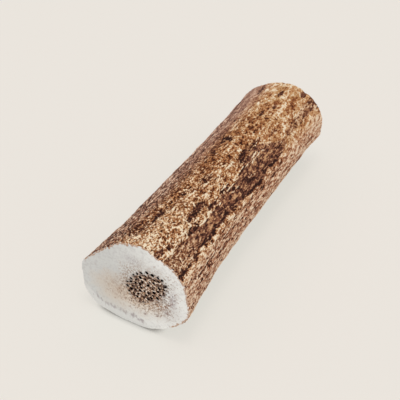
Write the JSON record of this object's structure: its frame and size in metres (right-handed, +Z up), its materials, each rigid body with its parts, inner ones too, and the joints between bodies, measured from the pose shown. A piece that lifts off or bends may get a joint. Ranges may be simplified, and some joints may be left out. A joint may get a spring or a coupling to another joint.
{
  "type": "elk antler dog chew",
  "caption": "Short length of elk antler beam, flared at one end and sawn off at both, with rough grooved bark and pale sawn faces with a porous marrow.",
  "frame": {"origin": "middle of the piece on the surface that it lies on: centre of its bounding box, at the bottom", "axes": "+X along the beam, from the flared sawn end to the slimmer one; +Z up as it lies on its side"},
  "size_m": [0.13, 0.0502, 0.0469],
  "materials": {
    "antler": "matte"
  },
  "bodies": {
    "root": {"antler": "antler"}
  },
  "joints": []
}
